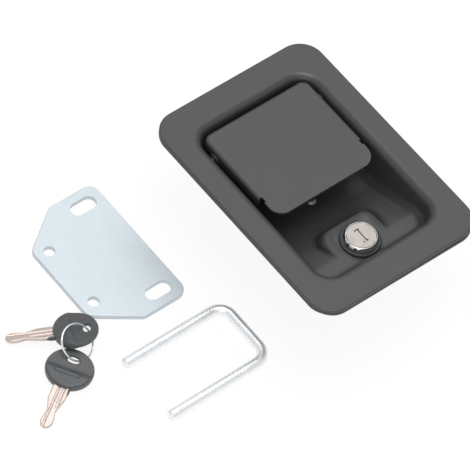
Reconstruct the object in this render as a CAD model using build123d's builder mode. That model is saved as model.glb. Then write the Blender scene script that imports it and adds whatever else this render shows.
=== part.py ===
from build123d import *

import os
from math import asin, atan, cos, hypot, radians, sin, tan

# A flush paddle latch with a key lock, and the kit packed with it: striker plate, U-bolt and two keys.
#
# Millimetres, +Z up. The origin is the middle of the panel's outer face, which the gasket lies on. The
# dish goes down through the panel's cut-out, the paddle's hinge is towards +Y and lies along X. The
# lock stands level on the foot of its latch case, and the loose pieces lie beside it on that floor.

os.makedirs("parts", exist_ok=True)

# ---- pressed dish ----
sheet = 1.5
flange_width = 108.0
flange_length = 150.0
flange_corner = 14.0
gasket_thickness = 2.0
recess_width = 77.0
recess_length = 113.0
recess_corner = 11.0
mouth_radius = 5.0
wall_draft = 10.0
floor_depth = 23.0
floor_radius = 4.0
shelf_depth = 13.5
shelf_end = -42.5
ramp_foot = -11.0
crest_radius = 14.0
plateau_width = 33.0
plateau_end = -25.5
plateau_corner = 6.0
plateau_draft = 28.0
plateau_edge_radius = 2.2
flange_round = 0.7
fixed_fit = 0.02

# ---- gasket and panel studs ----
gasket_edge = 0.5
gasket_gap = 0.6
stud_radius = 2.5
stud_length = 12.0
stud_spacing_x = 64.0
stud_spacing_y = 136.0
stud_hole_gap = 1.2

# ---- paddle ----
paddle_sheet = 1.5
paddle_play = 3.2
paddle_back = 52.7
paddle_skirt_end = 4.5
paddle_skirt = 12.0
paddle_skirt_low = 7.0
paddle_end_skirt = 5.0
paddle_corner = 5.0
paddle_bend = 2.0
lip_inset = 1.3
lip_front = -10.3
lip_corner = 8.0
lip_angle = 5.0
lip_bend_y = 2.0
notch_width = 2.2
notch_length = 3.6
hinge_y = 41.0
hinge_depth = 7.0
hinge_radius = 2.5
running_gap = 0.05
pin_head = 2.6
pin_head_radius = 3.4
bush_thickness = 1.0
bush_radius = 4.0
bush_gap = 0.1

# ---- release tongue under the paddle ----
tongue_width = 14.0
tongue_thickness = 2.5
tongue_back = 3.0
tongue_reach = 23.5
tongue_foot = 10.0
slot_front = -9.0
slot_clear = 1.0

# ---- latch case ----
case_sheet = 2.5
case_inside = 22.0
case_height = 34.5
case_front = -8.0
case_back = 50.0
cheek_back = 57.0
cheek_front = 5.0
case_corner = 4.0
case_bend = 3.0
mouth_width = 8.0
mouth_y = 44.0
mouth_height = 22.5
window_front = 3.0
window_back = 19.0
window_width = 8.0
rivet_radius = 1.6
rivet_head_radius = 3.4
rivet_head = 1.5
front_rivet_y = -0.6
side_rivet_x = 8.9
rivet_tail_radius = 2.0
rivet_tail = 0.9

# ---- claw, pawl and slider ----
claw_y = 33.0
claw_drop = 16.0
claw_thickness = 6.0
claw_hub = 8.0
claw_rim = 10.5
claw_rim_from = 170.0
claw_rim_to = 225.0
claw_open = 50.0
claw_reach = 16.5
horn_over = 9.0
horn_under = 8.5
rod_seat = 11.0
rod_play = 0.7
pivot_radius = 3.0
pivot_head = 1.2
pivot_head_radius = 4.5
pawl_y = 15.0
pawl_drop = 28.0
pawl_thickness = 5.0
pawl_hub = 5.5
pawl_arm = 6.0
pawl_top_gap = 0.9
tooth_gap = 0.3
tooth_low = 1.9
tooth_height = 2.1
tooth_rise = 4.0
tooth_root = 0.7
lug_reach = 13.0
lug_low = 10.0
lug_high = 13.0
stop_radius = 2.5
stop_y = 29.5
stop_drop = 29.4
spacer_radius = 4.2
slider_width = 10.0
slider_side_gap = 0.4
slider_thickness = 3.0
slider_gap = 0.3
strap_y = 21.7
strap_length = 3.4
strap_sheet = 1.2
strap_foot = 10.5
spring_wire = 0.6
spring_gap = 0.2

# ---- torsion springs: start along X, length along X, and the length of each leg ----
paddle_spring_x = -24.0
paddle_spring_length = 9.0
paddle_spring_leg = 24.0
paddle_spring_foot = 5.4
case_spring_side = 0.8
claw_spring_length = 6.3
claw_spring_leg = 7.0
claw_spring_foot = 12.0
pawl_spring_length = 6.8
pawl_spring_leg = 8.0
pawl_spring_foot = 9.5

# ---- key lock ----
lock_y = -40.0
bezel_radius = 9.5
bezel_height = 3.2
barrel_radius = 8.5
barrel_flats = 15.4
barrel_length = 25.5
collar_radius = 11.2
collar_thickness = 1.2
plug_face_radius = 7.95
plug_face_height = 2.6
plug_radius = 5.95
keyway_length = 9.0
keyway_width = 1.8
keyway_depth = 20.0
notch_angles = (215.0, 245.0)
bezel_notch = 1.6
bezel_round = 1.0
lock_nut_flats = 21.0
lock_nut_height = 4.0
lock_washer_thickness = 1.0
lock_washer_radius = 11.4
cam_thickness = 2.5
cam_width = 11.0
cam_reach = 36.8
cam_hub = 8.0
cam_drop = 0.5
cam_square = 7.0
cam_screw_radius = 2.0
cam_screw_length = 8.0
cam_screw_head = 2.2
cam_screw_head_radius = 3.6
cam_screw_socket = 3.0

# ---- striker plate and U-bolt ----
rod_radius = 3.0
leg_spacing = 39.0
u_bolt_length = 69.0
u_bolt_bend = 8.0
plate_length = 85.0
plate_depth = 54.0
plate_thickness = 3.0
plate_band = 29.0
plate_short = 50.0
plate_corner = 6.0
plate_slot_spacing = 66.0
plate_slot_width = 8.5
plate_slot_length = 16.0
plate_slot_edge = 13.0
plate_hole_radius = 3.25
plate_hole_edge = 8.0

# ---- keys and ring ----
key_head_length = 24.4
key_head_width = 26.4
key_head_thickness = 6.0
key_head_round = 2.4
key_tang = 9.0
eyelet_edge = 3.6
eyelet_thickness = 2.4
eyelet_length = 8.6
eyelet_width = 5.4
blade_length = 25.0
blade_width = 7.0
blade_waist = 5.2
blade_thickness = 2.2
blade_tip_width = 6.6
blade_tip_round = 2.6
key_bar_length = 13.0
key_bar_width = 2.6
key_bar_height = 0.5
eyelet_land = 5.2
groove_width = 1.4
groove_depth = 0.5
ring_radius = 10.0
ring_wire = 0.6
ring_lean = 38.0
ring_heading = 21.7

# ---- where the loose pieces lie ----
plate_x = -101.0
plate_y = 48.8
u_bolt_x = -130.5
u_bolt_y = -30.7
ring_x = -144.4
ring_beside_plate = 5.3
key_headings = (150.0, 212.0)
key_rolls = (17.0, 0.0)

# ---- levels and widths worked out from the sizes above ----
paddle_width = recess_width - 2 * paddle_play
lip_width = paddle_width - 2 * lip_inset
flange_top = gasket_thickness + sheet
dish_floor = flange_top - floor_depth
dish_under = dish_floor - sheet
shelf_top = flange_top - shelf_depth
web_under = dish_under - case_sheet
floor_level = dish_under - case_height
hinge_z = flange_top - hinge_depth
claw_z = dish_under - claw_drop
pawl_z = dish_under - pawl_drop
cheek_inner = case_inside / 2
cheek_outer = cheek_inner + case_sheet
paddle_under = flange_top - paddle_sheet
side_wall = sheet / cos(radians(wall_draft))
slot_back = hinge_y + tongue_back + tongue_thickness + slot_clear
slot_middle = (hinge_y + slot_front + slot_back) / 2
slot_length = slot_back - hinge_y - slot_front
ramp_drop = atan((floor_depth - shelf_depth) / (ramp_foot - shelf_end))


def finish(piece, name):
    """Label a finished piece and write it as its own file."""
    piece.label = name
    export_step(piece, f"parts/{name}.step")


def side_plane(y, z, turn=0.0):
    """A sketch plane across X at (y, z): its x axis is +Y and its y axis +Z, turned by degrees."""
    return Plane(origin=(0, y, z), x_dir=(0, cos(radians(turn)), sin(radians(turn))), z_dir=(1, 0, 0))


def downwards(y, z):
    """A sketch plane that looks down from (0, y, z), so that an extrusion grows towards -Z."""
    return Plane(origin=(0, y, z), x_dir=(1, 0, 0), z_dir=(0, 0, -1))


# ---- dish: one deep drawing, with a drafted recess, a ramp and a raised seat for the lock ----
def recess_solid(grow):
    """The recess as a solid: its inside when grow is 0, and the sheet's outside when it is the sheet."""
    side = grow / cos(radians(wall_draft))
    shift = grow * tan(ramp_drop / 2)
    shelf = shelf_top - grow
    floor = dish_floor - grow
    front = -recess_length / 2 - 3 * sheet
    with BuildPart() as recess:
        with BuildSketch(downwards(0, flange_top)):
            RectangleRounded(recess_width + 2 * side, recess_length + 2 * side, recess_corner + side)
        extrude(amount=floor_depth + grow, taper=wall_draft)
        with BuildSketch(Plane.YZ):
            with BuildLine():
                Polyline(
                    (front, floor - sheet),
                    (front, shelf),
                    (shelf_end - shift, shelf),
                    (ramp_foot - shift, floor),
                    (ramp_foot - shift, floor - sheet),
                    close=True,
                )
            make_face()
        extrude(amount=recess_width, both=True, mode=Mode.SUBTRACT)
        across = recess.edges().filter_by(Axis.X).filter_by_position(Axis.Y, front / 2, 0)
        ramp_edges = across.sort_by(Axis.Y)
        shelf_edge = [e for e in ramp_edges if abs(e.center().Y - shelf_end + shift) < 0.1]
        foot_edge = [e for e in ramp_edges if abs(e.center().Y - ramp_foot + shift) < 0.1]
        fillet(shelf_edge + foot_edge, crest_radius + grow)
        bottom = [
            e
            for e in recess.edges().filter_by_position(Axis.Z, floor - 1, shelf + 1)
            if max((e @ 0).Z, (e @ 1).Z) < shelf + 0.5
            and not (abs((e % 0.5).X) > 0.99 and front / 1.2 < e.center().Y < 0)
        ]
        fillet(bottom, floor_radius + grow)
    return recess.part


def plateau_solid(grow):
    """The raised seat of the key lock, drafted, and shrunk by grow for the underside of the sheet."""
    shelf = shelf_top - grow
    front = -recess_length / 2 - 3 * sheet
    end = plateau_end - grow
    with BuildPart() as plateau:
        with BuildSketch(downwards((end + front) / 2, shelf)):
            RectangleRounded(plateau_width - 2 * grow, end - front, plateau_corner - grow)
        extrude(amount=floor_depth - shelf_depth + sheet, taper=-plateau_draft)
        fillet(plateau.faces().sort_by(Axis.Z)[-1].edges(), plateau_edge_radius)
    return plateau.part


with BuildPart() as inside:
    add(recess_solid(0))
    add(plateau_solid(0), mode=Mode.SUBTRACT)

with BuildPart() as outside:
    add(recess_solid(sheet))
    add(plateau_solid(sheet), mode=Mode.SUBTRACT)

with BuildPart() as dish:
    with BuildSketch(Plane.XY.offset(gasket_thickness)):
        RectangleRounded(flange_width, flange_length, flange_corner)
    extrude(amount=sheet)
    fillet(dish.faces().sort_by(Axis.Z)[-1].edges(), flange_round)
    add(outside.part)
    under = [f for f in dish.faces().filter_by(Axis.Z) if abs(f.center().Z - gasket_thickness) < 0.01]
    fillet(ShapeList(under).sort_by(SortBy.AREA)[-1].inner_wires()[0].edges(), mouth_radius - sheet)
    add(inside.part, mode=Mode.SUBTRACT)
    top = dish.faces().filter_by(Axis.Z).sort_by(Axis.Z)[-1]
    fillet(top.inner_wires()[0].edges(), mouth_radius)
    with BuildSketch(side_plane(hinge_y, hinge_z)):
        Circle(hinge_radius + fixed_fit)
    extrude(amount=flange_width / 2, both=True, mode=Mode.SUBTRACT)
    with BuildSketch(Plane.XY.offset(dish_floor + 1)):
        with Locations((0, slot_middle)):
            RectangleRounded(tongue_width + 2 * slot_clear, slot_length, 2)
        with Locations((0, front_rivet_y), (side_rivet_x, strap_y), (-side_rivet_x, strap_y)):
            Circle(rivet_radius + fixed_fit)
    extrude(amount=-sheet - 2, mode=Mode.SUBTRACT)
    with BuildSketch(Plane.XY.offset(shelf_top + 1)):
        with Locations((0, lock_y)):
            Circle(barrel_radius + fixed_fit)
            Rectangle(barrel_flats + 2 * fixed_fit, 4 * barrel_radius, mode=Mode.INTERSECT)
    extrude(amount=-sheet - 2, mode=Mode.SUBTRACT)
finish(dish.part, "dish")


# ---- gasket: a foam ring punched to the flange, with holes for the studs ----
gasket_inner = recess_width + 2 * (side_wall + mouth_radius - sheet + gasket_gap)
gasket_window = gasket_inner + recess_length - recess_width
gasket_inner_corner = recess_corner + (gasket_inner - recess_width) / 2
with BuildPart() as gasket:
    with BuildSketch():
        RectangleRounded(
            flange_width - 2 * gasket_edge, flange_length - 2 * gasket_edge, flange_corner - gasket_edge
        )
        RectangleRounded(gasket_inner, gasket_window, gasket_inner_corner, mode=Mode.SUBTRACT)
        with GridLocations(stud_spacing_x, stud_spacing_y, 2, 2):
            Circle(stud_radius + stud_hole_gap, mode=Mode.SUBTRACT)
    extrude(amount=gasket_thickness)
finish(gasket.part, "gasket")


# ---- studs: four plain-ended screws welded to the flange's back ----
with BuildPart() as weld_studs:
    with BuildSketch(downwards(0, gasket_thickness)):
        with GridLocations(stud_spacing_x, stud_spacing_y, 2, 2):
            Circle(stud_radius)
    extrude(amount=stud_length)
    chamfer(weld_studs.faces().filter_by(Axis.Z).sort_by(Axis.Z)[:4].edges(), 0.6)
finish(weld_studs.part, "weld_studs")


# ---- paddle: a folded plate with skirts, and a finger lip cut free of them by two relief notches ----
with BuildPart() as lip:
    lip_drop = (lip_bend_y - lip_front) * tan(radians(lip_angle))
    with BuildSketch(Plane.YZ):
        with BuildLine():
            Polyline(
                (lip_front, flange_top - lip_drop),
                (lip_bend_y, flange_top),
                (paddle_skirt_end + 1, flange_top),
                (paddle_skirt_end + 1, paddle_under),
                (lip_bend_y, paddle_under),
                (lip_front, paddle_under - lip_drop),
                close=True,
            )
        make_face()
    extrude(amount=lip_width, both=True)
    with BuildSketch(Plane.XY.offset(dish_floor)) as lip_outline:
        with Locations((0, (lip_front + paddle_skirt_end) / 2 + 1)):
            Rectangle(lip_width, paddle_skirt_end - lip_front + 2)
        fillet(lip_outline.vertices().group_by(Axis.Y)[0], lip_corner)
        for side in (-1, 1):
            with Locations((side * paddle_width / 2, paddle_skirt_end - notch_length / 2)):
                Rectangle(2 * notch_width, notch_length, mode=Mode.SUBTRACT)
    extrude(amount=floor_depth * 2, mode=Mode.INTERSECT)

with BuildPart() as paddle:
    with BuildSketch(Plane.XY.offset(flange_top)) as paddle_outline:
        with Locations((0, (paddle_skirt_end + paddle_back) / 2)):
            Rectangle(paddle_width, paddle_back - paddle_skirt_end)
        fillet(paddle_outline.vertices().group_by(Axis.Y)[-1], paddle_corner)
    extrude(amount=-paddle_skirt)
    top_edges = paddle.faces().sort_by(Axis.Z)[-1].edges()
    fillet([e for e in top_edges if e.center().Y > paddle_skirt_end + 0.1], paddle_bend)
    with BuildSketch(Plane.XY.offset(paddle_under)) as paddle_hollow:
        with Locations((0, (paddle_skirt_end + paddle_back) / 2 - paddle_sheet)):
            Rectangle(paddle_width - 2 * paddle_sheet, paddle_back - paddle_skirt_end)
        fillet(paddle_hollow.vertices().group_by(Axis.Y)[-1], paddle_corner - paddle_sheet)
    extrude(amount=-paddle_skirt, mode=Mode.SUBTRACT)
    with BuildSketch(Plane.YZ) as skirt_cut:
        with BuildLine():
            Polyline(
                (paddle_back + 1, flange_top - paddle_end_skirt),
                (paddle_back - paddle_corner + 1, flange_top - paddle_end_skirt),
                (paddle_back - paddle_corner - 1, flange_top - paddle_skirt),
                (hinge_y - 2 * hinge_radius, flange_top - paddle_skirt),
                (paddle_skirt_end - 1, flange_top - paddle_skirt_low),
                (paddle_skirt_end - 1, dish_floor),
                (paddle_back + 1, dish_floor),
                close=True,
            )
        make_face()
        fillet(skirt_cut.vertices().sort_by(Axis.Y)[2:5], 2.5)
    extrude(amount=paddle_width, both=True, mode=Mode.SUBTRACT)
    add(lip.part)
    with BuildSketch(side_plane(hinge_y, hinge_z)):
        Circle(hinge_radius + running_gap)
    extrude(amount=paddle_width, both=True, mode=Mode.SUBTRACT)
finish(paddle.part, "paddle")


# ---- release tongue: an angle welded under the paddle, that reaches down through the dish ----
with BuildPart() as release_tongue:
    strap_front = hinge_y + tongue_back
    strap_back = strap_front + tongue_thickness
    with BuildSketch(Plane.YZ) as angle:
        with BuildLine():
            Polyline(
                (strap_back - tongue_foot - tongue_thickness, paddle_under),
                (strap_back, paddle_under),
                (strap_back, hinge_z - tongue_reach),
                (strap_front, hinge_z - tongue_reach),
                (strap_front, paddle_under - tongue_thickness),
                (strap_back - tongue_foot - tongue_thickness, paddle_under - tongue_thickness),
                close=True,
            )
        make_face()
        fillet(angle.vertices().group_by(Axis.Y)[0], 0.8)
        fillet(angle.vertices().sort_by_distance((strap_back, paddle_under, 0))[:1], 1.5 * tongue_thickness)
    extrude(amount=tongue_width / 2, both=True)
finish(release_tongue.part, "release_tongue")


# ---- hinge pin: headed over outside both walls of the dish, with a washer on each side of the paddle ----
with BuildPart() as pin_heads:
    for side in (-1, 1):
        with BuildSketch(side_plane(hinge_y, hinge_z).offset(side * (recess_width / 2 - 0.3))):
            Circle(pin_head_radius)
        extrude(amount=side * pin_head)
    add(dish.part, mode=Mode.SUBTRACT)

with BuildPart() as paddle_pin:
    with BuildSketch(side_plane(hinge_y, hinge_z)):
        Circle(hinge_radius)
    extrude(amount=recess_width / 2 + 1, both=True)
    add(pin_heads.part)
finish(paddle_pin.part, "paddle_pin")

with BuildPart() as paddle_bushes:
    for side in (-1, 1):
        with BuildSketch(side_plane(hinge_y, hinge_z).offset(side * (paddle_width / 2 + bush_gap))):
            Circle(bush_radius)
            Circle(hinge_radius + running_gap, mode=Mode.SUBTRACT)
        extrude(amount=side * bush_thickness)
finish(paddle_bushes.part, "paddle_bushes")


# ---- torsion springs: a coil along +X from a start angle, with a straight leg at each end ----
def coil_spring(name, place, reach, winding, legs):
    """Wind spring_wire round the pin at place, counter-clockwise seen from +X, and add its two legs.

    place is the pin's y, z and radius, reach the coil's start and length along X, winding its start
    angle and number of turns, and legs the length of its first and last leg.
    """
    pin_y, pin_z, pin_radius = place
    start_x, length = reach
    start_angle, turns = winding
    first_leg, last_leg = legs
    mean = pin_radius + spring_gap + spring_wire
    pitch = length / turns
    home = side_plane(pin_y, pin_z, start_angle).offset(start_x)
    with BuildPart() as spring:
        with BuildLine():
            turn = Helix(pitch, length, mean)
        with BuildSketch(Plane(origin=turn @ 0, z_dir=turn % 0)):
            Circle(spring_wire)
        sweep(path=turn)
        with BuildSketch(Plane(origin=turn @ 0, z_dir=(-(turn % 0).X, -(turn % 0).Y, 0))):
            Circle(spring_wire)
        extrude(amount=first_leg)
        with BuildSketch(Plane(origin=turn @ 1, z_dir=((turn % 1).X, (turn % 1).Y, 0))):
            Circle(spring_wire)
        extrude(amount=last_leg)
    finish(home.location * spring.part, name)


coil_spring(
    "paddle_spring",
    (hinge_y, hinge_z, hinge_radius),
    (paddle_spring_x, paddle_spring_length),
    (-60.0, 5.375),
    (paddle_spring_leg, paddle_spring_foot),
)
coil_spring(
    "claw_spring",
    (claw_y, claw_z, pivot_radius),
    (case_spring_side - cheek_inner, claw_spring_length),
    (110.0, 3.24),
    (claw_spring_leg, claw_spring_foot),
)
coil_spring(
    "pawl_spring",
    (pawl_y, pawl_z, pivot_radius),
    (case_spring_side - cheek_inner, pawl_spring_length),
    (150.0, 3.361),
    (pawl_spring_leg, pawl_spring_foot),
)


# ---- latch case: a folded U of thick sheet, whose two cheeks share one side profile ----
with BuildPart() as latch_case:
    with BuildSketch(Plane.XZ.offset(-cheek_front)) as section:
        with Locations((0, dish_under - case_height / 2)):
            Rectangle(2 * cheek_outer, case_height)
        fillet(section.vertices().group_by(Axis.Y)[-1], case_bend)
        with Locations((0, web_under - case_height / 2)):
            Rectangle(2 * cheek_inner, case_height, mode=Mode.SUBTRACT)
    extrude(amount=cheek_front - cheek_back)
    with BuildSketch(Plane.YZ) as side_profile:
        with BuildLine():
            Polyline(
                (cheek_front, dish_under),
                (case_back, dish_under),
                (cheek_back, dish_under - 2 * case_corner),
                (cheek_back, floor_level + 2 * case_corner),
                (cheek_back - case_corner / 2, floor_level),
                (cheek_front + case_corner, floor_level),
                close=True,
            )
        make_face()
        fillet(side_profile.vertices().group_by(Axis.Y)[0], case_corner)
        fillet(side_profile.vertices().group_by(Axis.X)[-1], case_corner)
        with Locations((mouth_y, floor_level + mouth_height - mouth_width / 2)):
            Circle(mouth_width / 2, mode=Mode.SUBTRACT)
        with Locations((mouth_y, floor_level + (mouth_height - mouth_width / 2) / 2)):
            Rectangle(mouth_width, mouth_height - mouth_width / 2, mode=Mode.SUBTRACT)
        with Locations((claw_y, claw_z), (pawl_y, pawl_z)):
            Circle(pivot_radius + fixed_fit, mode=Mode.SUBTRACT)
        with Locations((stop_y, dish_under - stop_drop)):
            Circle(stop_radius + fixed_fit, mode=Mode.SUBTRACT)
    extrude(amount=2 * cheek_outer, both=True, mode=Mode.INTERSECT)
    with BuildSketch(Plane.XY.offset(dish_under)) as tab:
        with Locations((0, (case_front + cheek_front + 1) / 2)):
            Rectangle(case_inside, cheek_front + 1 - case_front)
        fillet(tab.vertices().group_by(Axis.Y)[0], case_corner)
    extrude(amount=-case_sheet)
    with BuildSketch(Plane.XY.offset(dish_under + 1)):
        with Locations((0, slot_middle)):
            RectangleRounded(tongue_width + 2 * slot_clear, slot_length, 2)
        with Locations((0, (window_front + window_back) / 2)):
            RectangleRounded(window_width, window_back - window_front, 2)
        with Locations((0, front_rivet_y), (side_rivet_x, strap_y), (-side_rivet_x, strap_y)):
            Circle(rivet_radius + fixed_fit)
    extrude(amount=-case_sheet - 2, mode=Mode.SUBTRACT)
finish(latch_case.part, "latch_case")

with BuildPart() as case_rivets:
    for x, y, bottom in (
        (0, front_rivet_y, web_under),
        (side_rivet_x, strap_y, web_under - strap_sheet),
        (-side_rivet_x, strap_y, web_under - strap_sheet),
    ):
        with BuildSketch(Plane(origin=(x, y, 0), x_dir=(1, 0, 0), z_dir=(0, -1, 0))):
            with BuildLine():
                ThreePointArc(
                    (0, dish_floor + rivet_head),
                    (0.72 * rivet_head_radius, dish_floor + 0.64 * rivet_head),
                    (rivet_head_radius, dish_floor),
                )
                Polyline(
                    (rivet_head_radius, dish_floor),
                    (rivet_radius, dish_floor),
                    (rivet_radius, bottom),
                    (rivet_tail_radius, bottom),
                    (rivet_tail_radius, bottom - rivet_tail),
                    (0, bottom - rivet_tail),
                    (0, dish_floor + rivet_head),
                )
            make_face()
        revolve(axis=Axis((x, y, 0), (0, 0, 1)))
finish(case_rivets.part, "case_rivets")


# ---- claw: a rotor with two horns round the rod's seat, and a rim sector for the pawl, shown open ----
def rim_point(angle):
    """A point on the claw's rim, in the claw's own axes, at an angle in degrees."""
    return (claw_rim * cos(radians(angle)), claw_rim * sin(radians(angle)))


with BuildPart() as claw:
    with BuildSketch(side_plane(claw_y, claw_z, -claw_open)) as claw_outline:
        Circle(claw_hub)
        with BuildLine():
            rim_middle = rim_point((claw_rim_from + claw_rim_to) / 2)
            ThreePointArc(rim_point(claw_rim_from), rim_middle, rim_point(claw_rim_to))
            Polyline(rim_point(claw_rim_to), (0, 0), rim_point(claw_rim_from))
        make_face()
        with Locations((claw_reach / 2, (horn_over - horn_under) / 2)):
            Rectangle(claw_reach, horn_over + horn_under)
        with Locations((rod_seat, 0)):
            Circle(rod_radius + rod_play, mode=Mode.SUBTRACT)
        with Locations((rod_seat + claw_reach / 2, 0)):
            Rectangle(claw_reach, 2 * (rod_radius + rod_play), mode=Mode.SUBTRACT)
        fillet(claw_outline.vertices().group_by(Axis.X)[-1], 2.0)
        Circle(pivot_radius + running_gap, mode=Mode.SUBTRACT)
    extrude(amount=claw_thickness / 2, both=True)
finish(claw.part, "claw")


# ---- pawl: an arm up to the slider, a tooth towards the claw's rim, and a lug for the key cam ----
with BuildPart() as pawl:
    with BuildSketch(side_plane(pawl_y, pawl_z)) as pawl_outline:
        arm_top = dish_under - pawl_top_gap - pawl_z
        tip_out = claw_y - claw_rim - tooth_gap - pawl_y
        tip_low = claw_z + tooth_low - pawl_z
        Circle(pawl_hub)
        with Locations((0, arm_top / 2)):
            Rectangle(pawl_arm, arm_top)
        with BuildLine():
            Polyline(
                (0, tip_low + tooth_height + tooth_rise),
                (pawl_arm / 2, tip_low + tooth_height + tooth_rise),
                (tip_out, tip_low + tooth_height),
                (tip_out, tip_low),
                (pawl_arm / 2, tip_low + tooth_root),
                (0, tip_low + tooth_root),
                close=True,
            )
        make_face()
        with Locations((-lug_reach / 2, (lug_low + lug_high) / 2)):
            Rectangle(lug_reach, lug_high - lug_low)
        fillet(pawl_outline.vertices().group_by(Axis.Y)[-1], 1.5)
        fillet(pawl_outline.vertices().group_by(Axis.X)[0], 1.0)
        Circle(pivot_radius + running_gap, mode=Mode.SUBTRACT)
    extrude(amount=pawl_thickness / 2, both=True)
finish(pawl.part, "pawl")


# ---- cross pins: two pivots and a stop, headed over outside the cheeks, and the pivots' spacers ----
def cross_pin(name, y, z, radius, head_radius):
    """A pin along X at (y, z) through both cheeks, with a low domed head at each end."""
    with BuildPart() as pin:
        with BuildSketch(side_plane(y, z)):
            Circle(radius)
        extrude(amount=cheek_outer, both=True)
        for side in (-1, 1):
            with BuildSketch(side_plane(y, z).offset(side * cheek_outer)):
                Circle(head_radius)
            extrude(amount=side * pivot_head)
        ends = pin.faces().sort_by(Axis.X)
        fillet(ends[0].edges() + ends[-1].edges(), 0.6 * pivot_head)
    finish(pin.part, name)


cross_pin("claw_pin", claw_y, claw_z, pivot_radius, pivot_head_radius)
cross_pin("pawl_pin", pawl_y, pawl_z, pivot_radius, pivot_head_radius)
cross_pin("stop_pin", stop_y, dish_under - stop_drop, stop_radius, stop_radius + 1)


def spacer(name, y, z, thickness):
    """A tube on a pivot, from the moving part's +X side to the cheek."""
    with BuildPart() as tube:
        with BuildSketch(side_plane(y, z).offset(thickness / 2 + bush_gap)):
            Circle(spacer_radius)
            Circle(pivot_radius + running_gap, mode=Mode.SUBTRACT)
        extrude(amount=cheek_inner - thickness / 2 - 2 * bush_gap)
    finish(tube.part, name)


spacer("claw_spacer", claw_y, claw_z, claw_thickness)
spacer("pawl_spacer", pawl_y, pawl_z, pawl_thickness)


# ---- trigger slider: the bar between tongue and pawl, and the strap that holds it under the web ----
slider_top = web_under - slider_gap
slider_front = pawl_y + pawl_arm / 2 + 1.5 * slider_gap
slider_back = hinge_y + tongue_back - slider_gap
with BuildPart() as trigger_slider:
    with BuildSketch(Plane.XY.offset(slider_top)):
        with Locations((0, (slider_front + slider_back) / 2)):
            RectangleRounded(slider_width, slider_back - slider_front, 1.5)
    extrude(amount=-slider_thickness)
finish(trigger_slider.part, "trigger_slider")

strap_inner = slider_width / 2 + slider_side_gap
strap_inner_bottom = slider_top - slider_thickness - slider_gap
with BuildPart() as slider_strap:
    with BuildSketch(Plane.XZ.offset(-strap_y)):
        with BuildLine():
            Polyline(
                (strap_foot, web_under),
                (strap_inner, web_under),
                (strap_inner, strap_inner_bottom),
                (-strap_inner, strap_inner_bottom),
                (-strap_inner, web_under),
                (-strap_foot, web_under),
                (-strap_foot, web_under - strap_sheet),
                (-strap_inner - strap_sheet, web_under - strap_sheet),
                (-strap_inner - strap_sheet, strap_inner_bottom - strap_sheet),
                (strap_inner + strap_sheet, strap_inner_bottom - strap_sheet),
                (strap_inner + strap_sheet, web_under - strap_sheet),
                (strap_foot, web_under - strap_sheet),
                close=True,
            )
        make_face()
    extrude(amount=strap_length / 2, both=True)
    fillet(slider_strap.edges().filter_by(Axis.Y).group_by(Axis.Z)[0], strap_sheet)
    with BuildSketch(Plane.XY.offset(web_under + 1)):
        with Locations((side_rivet_x, strap_y), (-side_rivet_x, strap_y)):
            Circle(rivet_radius + fixed_fit)
    extrude(amount=-strap_sheet - 2, mode=Mode.SUBTRACT)
finish(slider_strap.part, "slider_strap")


# ---- key lock: a flatted barrel with a bezel, a collar over the shelf, and a nut under it ----
bezel_under = shelf_top + collar_thickness
bezel_top = bezel_under + bezel_height
barrel_end = shelf_top - barrel_length
cam_top = barrel_end - cam_drop


def flatted_disc(grow):
    """The barrel's cross-section, a circle with two flats, grown by a clearance."""
    with Locations((0, lock_y)):
        Circle(barrel_radius + grow)
        Rectangle(barrel_flats + 2 * grow, 4 * barrel_radius, mode=Mode.INTERSECT)


with BuildPart() as barrel_hole:
    with BuildSketch(Plane.XY.offset(barrel_end - 1)):
        flatted_disc(fixed_fit)
    extrude(amount=barrel_length + bezel_height + 4)

with BuildPart() as lock_collar:
    with BuildSketch(Plane.XY.offset(shelf_top)):
        with Locations((0, lock_y)):
            Circle(collar_radius)
    extrude(amount=collar_thickness)
    fillet(lock_collar.faces().sort_by(Axis.Z)[-1].edges(), 0.5)
    add(barrel_hole.part, mode=Mode.SUBTRACT)
finish(lock_collar.part, "lock_collar")

with BuildPart() as lock_housing:
    with BuildSketch(Plane.XY.offset(barrel_end)):
        flatted_disc(0)
    extrude(amount=bezel_under - barrel_end + 0.5)
    with BuildSketch(Plane.XY.offset(bezel_under)):
        with Locations((0, lock_y)):
            Circle(bezel_radius)
    extrude(amount=bezel_height)
    fillet(lock_housing.faces().sort_by(Axis.Z)[-1].edges(), bezel_round)
    with BuildSketch(Plane.XY.offset(bezel_top - bezel_height / 2)):
        with Locations((0, lock_y)):
            with PolarLocations(bezel_radius, 1, notch_angles[0]):
                Rectangle(bezel_notch, bezel_notch)
            with PolarLocations(bezel_radius, 1, notch_angles[1]):
                Rectangle(bezel_notch, bezel_notch)
    extrude(amount=bezel_height, mode=Mode.SUBTRACT)
    with BuildSketch(Plane.XY.offset(bezel_top - plug_face_height)):
        with Locations((0, lock_y)):
            Circle(plug_face_radius + running_gap)
    extrude(amount=bezel_height, mode=Mode.SUBTRACT)
    with BuildSketch(Plane.XY.offset(barrel_end - 1)):
        with Locations((0, lock_y)):
            Circle(plug_radius + running_gap)
    extrude(amount=barrel_length + bezel_height, mode=Mode.SUBTRACT)
finish(lock_housing.part, "lock_housing")

with BuildPart() as lock_washer:
    with BuildSketch(Plane.XY.offset(shelf_top - sheet)):
        with Locations((0, lock_y)):
            Circle(lock_washer_radius)
    extrude(amount=-lock_washer_thickness)
    add(barrel_hole.part, mode=Mode.SUBTRACT)
finish(lock_washer.part, "lock_washer")

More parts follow.
